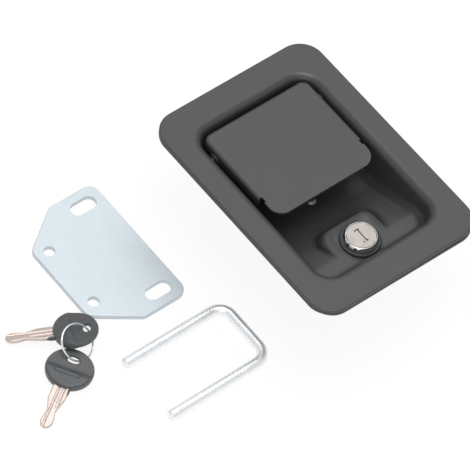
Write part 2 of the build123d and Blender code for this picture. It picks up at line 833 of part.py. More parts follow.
with BuildPart() as lock_nut:
    with BuildSketch(Plane.XY.offset(shelf_top - sheet - lock_washer_thickness)):
        with Locations((0, lock_y)):
            RegularPolygon(lock_nut_flats / 2, 6, major_radius=False)
    extrude(amount=-lock_nut_height)
    with BuildSketch(Plane.XY.offset(shelf_top - sheet - lock_washer_thickness)):
        with Locations((0, lock_y)):
            Circle(lock_nut_flats / 2 + 1.2)
    extrude(amount=-lock_nut_height, mode=Mode.INTERSECT)
    with BuildSketch(Plane.XY.offset(barrel_end)):
        with Locations((0, lock_y)):
            Circle(barrel_radius + fixed_fit)
    extrude(amount=barrel_length, mode=Mode.SUBTRACT)
finish(lock_nut.part, "lock_nut")

with BuildPart() as lock_plug:
    with BuildSketch(Plane.XY.offset(bezel_top)):
        with Locations((0, lock_y)):
            Circle(plug_face_radius)
    extrude(amount=running_gap - plug_face_height)
    with BuildSketch(Plane.XY.offset(cam_top)):
        with Locations((0, lock_y)):
            Circle(plug_radius)
    extrude(amount=bezel_top - plug_face_height - cam_top + 0.5)
    with BuildSketch(Plane.XY.offset(cam_top)):
        with Locations((0, lock_y)):
            Rectangle(cam_square, cam_square)
    extrude(amount=-cam_thickness + bush_gap)
    with BuildSketch(Plane.XY.offset(bezel_top)):
        with Locations((0, lock_y)):
            Rectangle(keyway_width, keyway_length)
        with Locations((0, lock_y + keyway_length / 2 - 0.45), (0, lock_y - keyway_length / 2 + 0.45)):
            Rectangle(keyway_width + 1.0, 0.9)
    extrude(amount=-keyway_depth, mode=Mode.SUBTRACT)
    with BuildSketch(Plane.XY.offset(cam_top - cam_thickness)):
        with Locations((0, lock_y)):
            Circle(cam_screw_radius + fixed_fit)
    extrude(amount=cam_screw_length + bush_gap, mode=Mode.SUBTRACT)
finish(lock_plug.part, "lock_plug")

with BuildPart() as lock_cam:
    with BuildSketch(Plane.XY.offset(cam_top)) as cam_outline:
        with Locations((cam_reach / 2, lock_y)):
            Rectangle(cam_reach, cam_width)
        fillet(cam_outline.vertices().group_by(Axis.X)[-1], 0.35 * cam_width)
        with Locations((0, lock_y)):
            Circle(cam_hub)
            Rectangle(cam_square + 2 * fixed_fit, cam_square + 2 * fixed_fit, mode=Mode.SUBTRACT)
    extrude(amount=-cam_thickness)
finish(lock_cam.part, "lock_cam")

with BuildPart() as cam_screw:
    with BuildSketch(Plane.XY.offset(cam_top - cam_thickness)):
        with Locations((0, lock_y)):
            Circle(cam_screw_radius)
    extrude(amount=cam_screw_length)
    with BuildSketch(Plane.XY.offset(cam_top - cam_thickness)):
        with Locations((0, lock_y)):
            Circle(cam_screw_head_radius)
    extrude(amount=-cam_screw_head)
    fillet(cam_screw.faces().sort_by(Axis.Z)[0].edges(), 0.6)
    with BuildSketch(Plane.XY.offset(cam_top - cam_thickness - cam_screw_head)):
        with Locations((0, lock_y)):
            RegularPolygon(cam_screw_socket / 2, 6, major_radius=False)
    extrude(amount=0.6 * cam_screw_head, mode=Mode.SUBTRACT)
finish(cam_screw.part, "cam_screw")


# ---- striker plate: flat, tapered towards its short edge, two slots for the panel and two rod holes ----
plate_front = plate_depth / 2
with BuildPart() as striker_plate:
    with BuildSketch(Plane((plate_x, plate_y, floor_level))) as plate_outline:
        with BuildLine():
            Polyline(
                (plate_front, plate_length / 2),
                (plate_front - plate_band, plate_length / 2),
                (-plate_front, plate_short / 2),
                (-plate_front, -plate_short / 2),
                (plate_front - plate_band, -plate_length / 2),
                (plate_front, -plate_length / 2),
                close=True,
            )
        make_face()
        fillet(plate_outline.vertices(), plate_corner)
        with Locations((plate_front - plate_slot_edge, 0)):
            with GridLocations(0, plate_slot_spacing, 1, 2):
                SlotOverall(plate_slot_length, plate_slot_width, mode=Mode.SUBTRACT)
        with Locations((plate_hole_edge - plate_front, 0)):
            with GridLocations(0, leg_spacing, 1, 2):
                Circle(plate_hole_radius, mode=Mode.SUBTRACT)
    extrude(amount=plate_thickness)
    fillet(striker_plate.faces().sort_by(Axis.Z)[-1].outer_wire().edges(), 0.4)
finish(striker_plate.part, "striker_plate")


# ---- U-bolt: one rod bent twice, its legs along X ----
with BuildPart() as u_bolt:
    bend_x = u_bolt_x + u_bolt_length - rod_radius
    leg_y = leg_spacing / 2
    rod_z = floor_level + rod_radius
    with BuildLine() as rod_path:
        FilletPolyline(
            (u_bolt_x, u_bolt_y + leg_y, rod_z),
            (bend_x, u_bolt_y + leg_y, rod_z),
            (bend_x, u_bolt_y - leg_y, rod_z),
            (u_bolt_x, u_bolt_y - leg_y, rod_z),
            radius=u_bolt_bend,
        )
    with BuildSketch(side_plane(u_bolt_y + leg_y, rod_z).offset(u_bolt_x)):
        Circle(rod_radius)
    sweep(path=rod_path.wire())
    chamfer(u_bolt.faces().filter_by(Axis.X).edges(), 0.7)
finish(u_bolt.part, "u_bolt")


# ---- keys and ring: the ring leans on its lowest point, and passes through both keys' eyelets ----
head_middle = key_head_length / 2 - eyelet_edge - eyelet_width / 2
head_end = head_middle + key_head_length / 2
blade_end = head_end + blade_length
ring_rise = ring_radius * sin(radians(ring_lean))
ring_height = ring_wire + ring_rise
along = Vector(cos(radians(ring_heading)), sin(radians(ring_heading)), 0)
across = Vector(-along.Y, along.X, 0)
ring_up = across * cos(radians(ring_lean)) + Vector(0, 0, sin(radians(ring_lean)))
ring_y = plate_y - plate_length / 2 + ring_beside_plate
ring_centre = Vector(ring_x, ring_y, floor_level + ring_height)
with BuildPart(Plane(origin=ring_centre, x_dir=along, z_dir=along.cross(ring_up))) as key_ring:
    Torus(ring_radius, ring_wire)
finish(key_ring.part, "key_ring")


def lie_down(roll):
    """The pitch at which a key rests on its head's edge and its blade's tip, and its middle's height."""
    reach_x = key_head_length / 2 - key_head_round
    reach_y = (key_head_width / 2 - key_head_round) * sin(radians(roll))
    body = key_head_round + (key_head_thickness / 2 - key_head_round) * cos(radians(roll))
    tip = blade_thickness / 2 * cos(radians(roll)) + blade_tip_width / 2 * sin(radians(roll))
    pitch = 0.0
    for _ in range(12):
        middle = body + hypot(reach_x * sin(pitch), reach_y)
        pitch = asin((middle - tip) / (blade_end - head_middle))
    return pitch, middle + fixed_fit


def make_key(name, side, heading, roll):
    """Write the head and blade of the key on one side of the ring, with its blade along heading."""
    pitch, middle_height = lie_down(roll)
    eyelet_height = middle_height + head_middle * sin(pitch)
    cross = asin((eyelet_height - ring_height) / ring_rise)
    spot = ring_centre + along * (side * ring_radius * cos(cross)) + ring_up * (ring_radius * sin(cross))
    flat = Vector(cos(radians(heading)), sin(radians(heading)), 0)
    beside = Vector(-flat.Y, flat.X, 0)
    forward = flat * cos(pitch) - Vector(0, 0, sin(pitch))
    upright = flat * sin(pitch) + Vector(0, 0, cos(pitch))
    key_plane = Plane(
        origin=spot, x_dir=forward, z_dir=upright * cos(radians(roll)) - beside * sin(radians(roll))
    )
    with BuildPart() as blade:
        with BuildSketch(key_plane) as blade_outline:
            with BuildLine():
                Polyline(
                    (head_end, blade_width / 2),
                    (head_end - key_tang, blade_width / 2),
                    (head_end - key_tang, -blade_width / 2),
                    (head_end, -blade_width / 2),
                )
                for way in (-1, 1):
                    Spline(
                        (head_end, way * blade_width / 2),
                        (head_end + 0.3 * blade_length, way * blade_width / 2.1),
                        (head_end + 0.58 * blade_length, way * blade_waist / 2),
                        (blade_end, way * blade_tip_width / 2),
                        tangents=((1, 0), (1, 0)),
                    )
                Line((blade_end, -blade_tip_width / 2), (blade_end, blade_tip_width / 2))
            make_face()
            fillet(blade_outline.vertices().group_by(Axis.X)[-1], blade_tip_round)
        extrude(amount=blade_thickness / 2, both=True)
        for way in (-1, 1):
            with BuildSketch(key_plane.offset(way * blade_thickness / 2)):
                with Locations((head_end + blade_length / 2 + 1, 0)):
                    Rectangle(blade_length, groove_width)
            extrude(amount=-way * groove_depth, mode=Mode.SUBTRACT)
    finish(blade.part, f"{name}_blade")
    with BuildPart() as head:
        with BuildSketch(key_plane):
            with Locations((head_middle, 0)):
                Ellipse(key_head_length / 2, key_head_width / 2)
        extrude(amount=key_head_thickness / 2, both=True)
        fillet(head.edges().filter_by(GeomType.ELLIPSE), key_head_round)
        for way in (-1, 1):
            with BuildSketch(key_plane.offset(way * eyelet_thickness / 2)):
                with Locations((eyelet_land - key_head_length / 2, 0)):
                    Rectangle(key_head_length, 2 * key_head_width)
            extrude(amount=way * key_head_thickness, mode=Mode.SUBTRACT)
        with BuildSketch(key_plane.offset(key_head_thickness / 2 - 0.5)):
            with Locations((eyelet_land + 1.2 * key_bar_width, 0)):
                RectangleRounded(key_bar_width, key_bar_length, 0.8)
        extrude(amount=key_bar_height + 0.5)
        with BuildSketch(key_plane):
            SlotOverall(eyelet_length, eyelet_width, rotation=90)
        extrude(amount=key_head_thickness, both=True, mode=Mode.SUBTRACT)
        with BuildSketch(key_plane):
            with Locations((head_end - key_tang / 2 + key_head_round - fixed_fit / 2, 0)):
                Rectangle(key_tang + 2 * key_head_round + fixed_fit, blade_width + 2 * fixed_fit)
        extrude(amount=blade_thickness / 2 + fixed_fit, both=True, mode=Mode.SUBTRACT)
    finish(head.part, f"{name}_head")


make_key("key_1", 1, key_headings[0], key_rolls[0])
make_key("key_2", -1, key_headings[1], key_rolls[1])
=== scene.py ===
import bpy
import numpy as np
from mathutils import Matrix, Vector


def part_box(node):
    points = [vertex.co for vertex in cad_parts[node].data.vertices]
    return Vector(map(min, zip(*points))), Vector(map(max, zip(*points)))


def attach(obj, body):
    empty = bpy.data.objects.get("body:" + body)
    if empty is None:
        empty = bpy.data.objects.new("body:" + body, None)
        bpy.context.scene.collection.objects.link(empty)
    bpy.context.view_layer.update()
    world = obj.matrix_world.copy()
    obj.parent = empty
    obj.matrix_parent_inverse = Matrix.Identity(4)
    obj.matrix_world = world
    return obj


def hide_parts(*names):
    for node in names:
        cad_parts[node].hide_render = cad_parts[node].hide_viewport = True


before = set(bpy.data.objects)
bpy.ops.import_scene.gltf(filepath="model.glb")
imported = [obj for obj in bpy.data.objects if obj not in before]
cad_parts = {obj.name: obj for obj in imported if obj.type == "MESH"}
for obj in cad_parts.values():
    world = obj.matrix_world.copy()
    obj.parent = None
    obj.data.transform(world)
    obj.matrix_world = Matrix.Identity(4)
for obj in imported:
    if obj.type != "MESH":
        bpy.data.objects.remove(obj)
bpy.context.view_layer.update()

mm = 0.001


# ---- pressed dish ----
# One deep drawing of 1.5 mm steel: a flat flange, a drafted recess and a raised seat for the lock.
# It is powder coated black after welding, so the coat lies over the welds and the rivets' holes.


def linear(code):
    """The linear colour of an sRGB hex code, by the standard's curve.

    Each part from 0 to 1 is divided by 12.92 where it is dark, and otherwise has 0.055 added, is
    divided by 1.055 and raised to the power of 2.4.
    """
    srgb = np.array([int(code[i : i + 2], 16) for i in (0, 2, 4)]) / 255
    curve = np.where(srgb > 0.04045, ((srgb + 0.055) / 1.055) ** 2.4, srgb / 12.92)
    return (*curve.tolist(), 1.0)


def add_node(tree, kind, values=(), **settings):
    """Add a node, set its settings and fill its sockets.

    A value that is another node's output is linked, and any other value is set. A Mix node's
    sockets go by number: 0 is the share, 4 and 5 are its vectors, and 6 and 7 are its colours.
    """
    made = tree.nodes.new("ShaderNode" + kind)
    for key, value in settings.items():
        setattr(made, key, value)
    for socket, value in dict(values).items():
        if isinstance(value, bpy.types.NodeSocket):
            tree.links.new(value, made.inputs[socket])
        else:
            made.inputs[socket].default_value = value
    return made


def start_material(name):
    """An empty node material: its tree, and the Object coordinates that its patterns are laid on."""
    material = bpy.data.materials.new(name)
    material.use_nodes = True
    tree = material.node_tree
    tree.nodes.clear()
    return material, tree, add_node(tree, "TexCoord").outputs["Object"]


def close_material(tree, shader):
    """Join a finished shader to the material's output."""
    add_node(tree, "OutputMaterial", {"Surface": shader.outputs[0]})


def coat(material, *names):
    """Give a material to CAD nodes whose own shape is right."""
    for name in names:
        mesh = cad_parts[name].data
        mesh.materials.clear()
        mesh.materials.append(material)


# Black powder coat: satin, with a faint orange peel that breaks up its broad highlights. The real
# peel is about 0.5 mm across, and is drawn at 1.6 mm, as coarse as it needs to be to show. Here and
# below, a noise's scale is one over the size of its clouds.
powder_coat, tree, place = start_material("powder_coat_satin_black")
cloud = add_node(tree, "TexNoise", {"Vector": place, "Scale": 1 / (22.2 * mm), "Detail": 3.0})
peel = add_node(tree, "TexNoise", {"Vector": place, "Scale": 1 / (1.613 * mm), "Detail": 2.0})
tint = add_node(
    tree,
    "Mix",
    {0: cloud.outputs["Fac"], 6: linear("323233"), 7: linear("3a3a3b")},
    data_type="RGBA",
)
gloss = add_node(
    tree, "MapRange", {"Value": peel.outputs["Fac"], "To Min": 0.32, "To Max": 0.42}
)
# The drawing die leaves every bend inside the recess soft, so below the flange the coat's shading is
# rounded over 7 mm; the flange itself keeps its flat face and crisp rim.
soft_from, soft_full, soft_radius = -1.0 * mm, -4.0 * mm, 7.0 * mm
depth = add_node(tree, "SeparateXYZ", {"Vector": place})
inside = add_node(
    tree, "MapRange", {"Value": depth.outputs["Z"], "From Min": soft_from, "From Max": soft_full}
)
face = add_node(tree, "NewGeometry")
soft = add_node(tree, "Bevel", {"Radius": soft_radius}, samples=8)
normal = add_node(
    tree,
    "Mix",
    {0: inside.outputs["Result"], 4: face.outputs["Normal"], 5: soft.outputs["Normal"]},
    data_type="VECTOR",
)
bump = add_node(
    tree,
    "Bump",
    {
        "Height": peel.outputs["Fac"],
        "Strength": 0.14,
        "Distance": 0.05 * mm,
        "Normal": normal.outputs[1],
    },
)
shader = add_node(
    tree,
    "BsdfPrincipled",
    {
        "Base Color": tint.outputs[2],
        "Roughness": gloss.outputs["Result"],
        "Specular IOR Level": 0.6,
        "Normal": bump.outputs["Normal"],
    },
)
close_material(tree, shader)
coat(powder_coat, "dish")


# ---- gasket ----
# A ring of closed-cell foam rubber, punched to the flange's outline and stuck to its back. Its cut
# edge shows under the flange, where the glue has let go.

# Foam rubber: dull grey, with the open cells of a punched edge as fine pits. The real cells are
# about 0.3 mm across, and are drawn at 1.1 mm, as coarse as they need to be to show.
gasket_foam, tree, place = start_material("gasket_foam_rubber")
cells = add_node(tree, "TexVoronoi", {"Vector": place, "Scale": 1 / (1.11 * mm)})
cloud = add_node(tree, "TexNoise", {"Vector": place, "Scale": 1 / (8.33 * mm), "Detail": 3.0})
tint = add_node(
    tree,
    "Mix",
    {0: cloud.outputs["Fac"], 6: linear("505052"), 7: linear("626264")},
    data_type="RGBA",
)
bump = add_node(
    tree, "Bump", {"Height": cells.outputs["Distance"], "Strength": 0.5, "Distance": 0.2 * mm}
)
shader = add_node(
    tree,
    "BsdfPrincipled",
    {"Base Color": tint.outputs[2], "Roughness": 0.85, "Normal": bump.outputs["Normal"]},
)
close_material(tree, shader)


def build(name, body, material, grids, closed=False):
    """Make one piece from grids of points and set it to ride on a body.

    Each row of a grid is a ring of points. Neighbouring rows are joined by four-sided faces, and the
    first and last rows are closed by a fan to their middle, or joined to each other where closed is
    set. Corners sharper than 40 degrees stay sharp, and all others are shaded smooth.
    """
    points, faces, base = [], [], 0
    for grid in grids:
        rows, around = grid.shape[:2]
        ring = np.arange(around)
        after = np.roll(ring, -1)
        start = np.arange(rows if closed else rows - 1)[:, None] * around
        following = (start + around) % (rows * around)
        quads = np.stack([start + ring, start + after, following + after, following + ring], axis=-1)
        faces += (quads.reshape(-1, 4) + base).tolist()
        points.append(grid.reshape(-1, 3))
        if not closed:
            last = (rows - 1) * around
            foot = np.stack([np.full(around, rows * around), after, ring], axis=-1)
            head = np.stack([np.full(around, rows * around + 1), last + ring, last + after], axis=-1)
            faces += (foot + base).tolist() + (head + base).tolist()
            points.append(grid[[0, -1]].mean(axis=1))
        base = sum(len(block) for block in points)
    mesh = bpy.data.meshes.new(name)
    mesh.from_pydata(np.concatenate(points).tolist(), [], faces)
    mesh.shade_smooth()
    mesh.set_sharp_from_angle(angle=np.radians(40))
    mesh.materials.append(material)
    piece = bpy.data.objects.new(name, mesh)
    bpy.context.scene.collection.objects.link(piece)
    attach(piece, body)
    return piece


def rounded_outline(width, length, corner, steps=60):
    """Points round a rectangle with round corners: four quarter circles of the corner's radius.

    Each quarter circle's centre is the rectangle's corner, moved in by the radius both ways.
    """
    quarter = np.linspace(0, np.pi / 2, steps)
    turn = np.concatenate([quarter + k * np.pi / 2 for k in range(4)])
    side_x = np.repeat([1, -1, -1, 1], steps)
    side_y = np.repeat([1, 1, -1, -1], steps)
    x = side_x * (width / 2 - corner) + corner * np.cos(turn)
    y = side_y * (length / 2 - corner) + corner * np.sin(turn)
    return np.stack([x, y], axis=-1)


gasket_low, gasket_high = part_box("gasket")
flange_width, flange_length = 108.0 * mm, 150.0 * mm
window = rounded_outline(88.2 * mm, 124.2 * mm, 16.6 * mm)
edge = rounded_outline(flange_width, flange_length, 14.0 * mm)
# The ring's section is a squared circle: share runs from the window to the edge, rise from the foot
# to the top.
section = np.radians(np.linspace(0, 360, 40, endpoint=False))
share = 0.5 + 0.5 * np.sign(np.cos(section)) * np.abs(np.cos(section)) ** 0.25
rise = 0.5 + 0.5 * np.sign(np.sin(section)) * np.abs(np.sin(section)) ** 0.4
flat = window[:, None] + (edge - window)[:, None] * share[None, :, None]
# The ring sags away from the flange along its front edge, most towards the edge's right end, and a
# little along its left edge. The punch has left a slow ripple along the cut.
near_front = np.clip((-edge[:, 1] / (flange_length / 2) - 0.8) / 0.2, 0, 1)
near_left = np.clip((-edge[:, 0] / (flange_width / 2) - 0.8) / 0.2, 0, 1)
front_sag = 1.9 * mm + edge[:, 0] / 60.0
left_sag = 0.8 * mm
ripple = 0.15 * mm * np.sin(edge[:, 0] / (2.7 * mm)) * np.cos(edge[:, 1] / (3.9 * mm))
sag = np.maximum(near_front * front_sag, near_left * left_sag) + ripple
height = gasket_low.z + (gasket_high.z - gasket_low.z) * rise[None, :]
height = height - sag[:, None] * share[None, :] ** 0.5
gasket_grid = np.concatenate([flat, height[..., None]], axis=-1)
foam_ring = build("foam_gasket", "lock", gasket_foam, [gasket_grid[::-1]], closed=True)
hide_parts("gasket")


# ---- paddle ----
# A folded plate with skirts and a bent finger lip, powder coated as the dish is. The release tongue
# is an angle spot-welded under it, coated with it.
coat(powder_coat, "paddle", "release_tongue")


# ---- hinge pin, bushes and the paddle's spring ----
# A pin headed over outside the dish's walls and coated with it, a plastic bush at each side of the
# paddle, and a torsion spring that brings the paddle back flush.

# Bright zinc plating: bluish, with soft cloudy gloss from the tumbling barrel.
zinc_bright, tree, place = start_material("zinc_plate_bright")
cloud = add_node(tree, "TexNoise", {"Vector": place, "Scale": 1 / (6.25 * mm), "Detail": 4.0})
tint = add_node(
    tree,
    "Mix",
    {0: cloud.outputs["Fac"], 6: linear("dde1e3"), 7: linear("eef1f2")},
    data_type="RGBA",
)
gloss = add_node(
    tree, "MapRange", {"Value": cloud.outputs["Fac"], "To Min": 0.26, "To Max": 0.36}
)
shader = add_node(
    tree,
    "BsdfPrincipled",
    {"Base Color": tint.outputs[2], "Metallic": 1.0, "Roughness": gloss.outputs["Result"]},
)
close_material(tree, shader)

# Drawn spring wire: mid grey and lightly oiled, with uneven marks from the die, about 0.1 mm across
# and drawn at 1.1 mm to show.
spring_steel, tree, place = start_material("spring_wire_drawn")
marks = add_node(tree, "TexNoise", {"Vector": place, "Scale": 1 / (1.11 * mm), "Detail": 2.0})
tint = add_node(
    tree,
    "Mix",
    {0: marks.outputs["Fac"], 6: linear("8e9093"), 7: linear("b9bbbd")},
    data_type="RGBA",
)
shader = add_node(
    tree, "BsdfPrincipled", {"Base Color": tint.outputs[2], "Metallic": 1.0, "Roughness": 0.32}
)
close_material(tree, shader)

# Moulded acetal: black and smooth, with slight flow marks.
bush_plastic, tree, place = start_material("bush_acetal")
cloud = add_node(tree, "TexNoise", {"Vector": place, "Scale": 1 / (3.85 * mm)})
tint = add_node(
    tree,
    "Mix",
    {0: cloud.outputs["Fac"], 6: linear("26272a"), 7: linear("303134")},
    data_type="RGBA",
)
shader = add_node(tree, "BsdfPrincipled", {"Base Color": tint.outputs[2], "Roughness": 0.45})
close_material(tree, shader)

coat(powder_coat, "paddle_pin")
coat(bush_plastic, "paddle_bushes")
coat(spring_steel, "paddle_spring", "claw_spring", "pawl_spring")


# ---- welded studs ----
# Four M5 studs welded to the flange's back, which pull the flange and its gasket onto the panel.
# Their ends are threaded, and the last of the thread is chamfered.
stud_radius, stud_pitch, stud_depth = 2.5 * mm, 0.8 * mm, 0.4 * mm
stud_shank, stud_chamfer = 3.0 * mm, 0.6 * mm
stud_places = [(sx * 32.0 * mm, sy * 68.0 * mm) for sx in (-1, 1) for sy in (-1, 1)]
stud_low, stud_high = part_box("weld_studs")


def thread(along, turn, radius, pitch, depth, start, end):
    """The radius of a threaded rod at each distance along it and each angle round it.

    The thread is a triangle wave of the distance less the turn's share of the pitch, times its depth,
    and it fades out over one pitch at its start and its end.
    """
    wave = np.abs(2 * ((along / pitch - turn / (2 * np.pi)) % 1.0) - 1)
    fade = np.clip((along - start) / pitch, 0, 1) * np.clip((end - along) / pitch, 0, 1)
    return radius - depth * wave * fade


def turned(radius, along, turn, place, way=-1):
    """A grid of rings about an upright axis through place: each point is its radius out at its angle.

    Along runs down from place where way is -1 and up where it is 1, and the angle is turned the
    other way with it, so that the faces look outward.
    """
    x = place[0] + radius * np.cos(turn)
    y = place[1] + way * radius * np.sin(turn)
    return np.stack([x, y, place[2] + way * along + 0 * radius], axis=-1)


stud_length = stud_high.z - stud_low.z
along = np.linspace(0, stud_length, 130)[:, None]
turn = np.linspace(0, 2 * np.pi, 24, endpoint=False)[None, :]
ridge = thread(along, turn, stud_radius, stud_pitch, stud_depth, stud_shank, stud_length)
ridge = np.minimum(ridge, stud_radius - stud_chamfer + (stud_length - along))
studs = build(
    "panel_studs",
    "lock",
    zinc_bright,
    [turned(ridge, along, turn, (x, y, stud_high.z)) for x, y in stud_places],
)
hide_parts("weld_studs")


# ---- latch case ----
# A folded U of 2.5 mm steel, riveted under the dish, with a mouth in both cheeks for the U-bolt.
# It is zinc plated in a dull grey, and its pins and spacers are plated brighter.

# Dull zinc plating on rolled sheet: grey, patchy, with faint rolling lines along the sheet. The
# lines are drawn 1.1 mm apart to show, where the rolls leave them closer than 0.1 mm.
zinc_dull, tree, place = start_material("zinc_plate_dull")
rolled = add_node(tree, "Mapping", {"Vector": place, "Scale": (1.0, 0.06, 1.0)})
lines = add_node(
    tree,
    "TexNoise",
    {"Vector": rolled.outputs["Vector"], "Scale": 1 / (1.11 * mm), "Detail": 2.0},
)
cloud = add_node(tree, "TexNoise", {"Vector": place, "Scale": 1 / (11.1 * mm), "Detail": 5.0})
tint = add_node(
    tree,
    "Mix",
    {0: cloud.outputs["Fac"], 6: linear("a7aaad"), 7: linear("c6c8c8")},
    data_type="RGBA",
)
gloss = add_node(
    tree, "MapRange", {"Value": cloud.outputs["Fac"], "To Min": 0.34, "To Max": 0.52}
)
bump = add_node(
    tree, "Bump", {"Height": lines.outputs["Fac"], "Strength": 0.1, "Distance": 0.05 * mm}
)
shader = add_node(
    tree,
    "BsdfPrincipled",
    {
        "Base Color": tint.outputs[2],
        "Metallic": 1.0,
        "Roughness": gloss.outputs["Result"],
        "Normal": bump.outputs["Normal"],
    },
)
close_material(tree, shader)

# Hardened steel: dark straw-grey from the furnace, clouded by the quench.
hardened, tree, place = start_material("steel_hardened")
cloud = add_node(tree, "TexNoise", {"Vector": place, "Scale": 1 / (7.14 * mm), "Detail": 4.0})
tint = add_node(
    tree,
    "Mix",
    {0: cloud.outputs["Fac"], 6: linear("6c6a68"), 7: linear("8f8d8a")},
    data_type="RGBA",
)
shader = add_node(
    tree, "BsdfPrincipled", {"Base Color": tint.outputs[2], "Metallic": 1.0, "Roughness": 0.38}
)
close_material(tree, shader)

coat(zinc_dull, "latch_case", "trigger_slider", "slider_strap", "lock_cam")
coat(zinc_bright, "claw_pin", "pawl_pin", "stop_pin", "claw_spacer", "pawl_spacer")
coat(hardened, "claw", "pawl", "case_rivets")


# ---- key lock ----
# A die-cast cam lock: a chrome bezel, a turning plug with a keyway, a threaded barrel through the
# dish, and a nut, washer and cam behind it. A black plastic collar lies under the bezel.

# Chrome plating on a zinc casting: almost a mirror, with a faint ripple from the casting.
lock_chrome, tree, place = start_material("chrome_plated_zinc_casting")
ripple = add_node(tree, "TexNoise", {"Vector": place, "Scale": 1 / (2.0 * mm), "Detail": 2.0})
bump = add_node(
    tree, "Bump", {"Height": ripple.outputs["Fac"], "Strength": 0.08, "Distance": 0.05 * mm}
)
tint = add_node(
    tree,
    "Mix",
    {0: ripple.outputs["Fac"], 6: linear("d9d9d7"), 7: linear("eeeeec")},
    data_type="RGBA",
)
shader = add_node(
    tree,
    "BsdfPrincipled",
    {
        "Base Color": tint.outputs[2],
        "Metallic": 1.0,
        "Roughness": 0.14,
        "Normal": bump.outputs["Normal"],
    },
)
close_material(tree, shader)

lock_place = (0.0, -40.0 * mm, 0.0)
lock_low, lock_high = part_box("lock_housing")
crown = lock_high.z
seat = crown - 3.2 * mm
barrel_radius, barrel_flat, bore_radius = 8.5 * mm, 7.7 * mm, 6.05 * mm
# The bezel's section runs up beside the plug, over the crown and down a broad bevel to an upright
# foot on the collar.
bevel_start, bevel_width, bevel_drop = 8.6 * mm, 0.9 * mm, 1.05 * mm
bezel_radius = bevel_start + bevel_width
fall = np.linspace(0, 1, 12)
bezel_r = np.concatenate(
    [
        np.array([8.24, 8.24, 8.3, 8.36, 8.56]) * mm,
        bevel_start + bevel_width * fall,
        [bezel_radius, bezel_radius, barrel_radius],
    ]
)
bezel_z = np.concatenate(
    [
        [seat + 0.6 * mm, crown - 0.2 * mm, crown - 0.06 * mm, crown, crown],
        crown - 0.03 * mm - bevel_drop * fall**1.1,
        [seat + 0.9 * mm, seat, seat],
    ]
)
turn = np.linspace(0, 2 * np.pi, 180, endpoint=False)[None, :]
bezel = np.repeat(bezel_r[:, None], turn.size, axis=1)
# Two notches are cut into the bevel and the wall below it.
notch_angles, notch_half_angle = (182.0, 212.0), 5.5
notches = [
    np.abs((np.degrees(turn) - angle + 180) % 360 - 180) < notch_half_angle
    for angle in notch_angles
]
low_wall = (bezel_z[:, None] < crown - 0.3 * mm) & (bezel_r[:, None] > bevel_start + 0.15 * mm)
bezel = np.where(low_wall & (notches[0] | notches[1]), np.minimum(bezel, bevel_start), bezel)
# The barrel is threaded, flattened on two sides and chamfered at its foot, and a plain bore runs up
# inside it.
barrel_pitch, barrel_depth, barrel_chamfer = 1.0 * mm, 0.5 * mm, 0.6 * mm
thread_start, thread_end = 2.0 * mm, 26.7 * mm
barrel_z = np.linspace(seat - 0.3 * mm, lock_low.z, 215)
down = seat - barrel_z[:, None]
barrel = thread(down, turn, barrel_radius, barrel_pitch, barrel_depth, thread_start, thread_end)
barrel = np.minimum(barrel, barrel_flat / np.maximum(np.abs(np.cos(turn)), 0.2))
barrel = np.minimum(barrel, barrel_radius - barrel_chamfer + (barrel_z[:, None] - lock_low.z))
bore = np.full((2, turn.size), bore_radius)
bore_z = np.array([lock_low.z, seat + 0.6 * mm])
rings = np.concatenate([bezel, barrel, bore])
heights = np.concatenate([bezel_z, barrel_z, bore_z])[:, None]
housing = build(
    "lock_bezel_and_barrel",
    "lock",
    lock_chrome,
    [turned(rings, heights, turn, lock_place, way=1)[::-1]],
    closed=True,
)
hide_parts("lock_housing")

# Nickel on the plug's face: warmer than the bezel, with the soft clouds of hand polishing.
plug_nickel, tree, place = start_material("plug_polished_nickel")
cloud = add_node(tree, "TexNoise", {"Vector": place, "Scale": 1 / (5.263 * mm), "Detail": 3.0})
bump = add_node(
    tree, "Bump", {"Height": cloud.outputs["Fac"], "Strength": 0.5, "Distance": 0.25 * mm}
)
tint = add_node(
    tree,
    "Mix",
    {0: cloud.outputs["Fac"], 6: linear("98928e"), 7: linear("b9b3ae")},
    data_type="RGBA",
)
gloss = add_node(
    tree, "MapRange", {"Value": cloud.outputs["Fac"], "To Min": 0.36, "To Max": 0.46}
)
shader = add_node(
    tree,
    "BsdfPrincipled",
    {
        "Base Color": tint.outputs[2],
        "Metallic": 1.0,
        "Roughness": gloss.outputs["Result"],
        "Normal": bump.outputs["Normal"],
    },
)
close_material(tree, shader)
coat(plug_nickel, "lock_plug")

# The shutter is a sprung flap that fills the keyway, but for a thin line at its left and the hooks
# at its ends.
flap_half_length, flap_half_width, flap_shift = 4.3 * mm, 0.72 * mm, 0.15 * mm
flap_drop, flap_half_height = 0.62 * mm, 0.14 * mm
flap_y = np.linspace(-flap_half_length, flap_half_length, 30)[:, None] + lock_place[1]
flap_turn = np.linspace(0, 2 * np.pi, 24, endpoint=False)[None, :]
flap_x = flap_half_width * np.cos(flap_turn) + flap_shift
flap_z = crown - flap_drop + flap_half_height * np.sin(flap_turn)
flap_grid = np.stack(np.broadcast_arrays(flap_x, flap_y, flap_z), axis=-1)
shutter = build("key_shutter", "plug", plug_nickel, [flap_grid[::-1]])
coat(bush_plastic, "lock_collar")
coat(zinc_bright, "lock_nut", "lock_washer", "cam_screw")


# ---- striker plate ----
# A flat 3 mm blanking of zinc-plated steel, with two slots for the door frame and two round holes
# for the U-bolt.

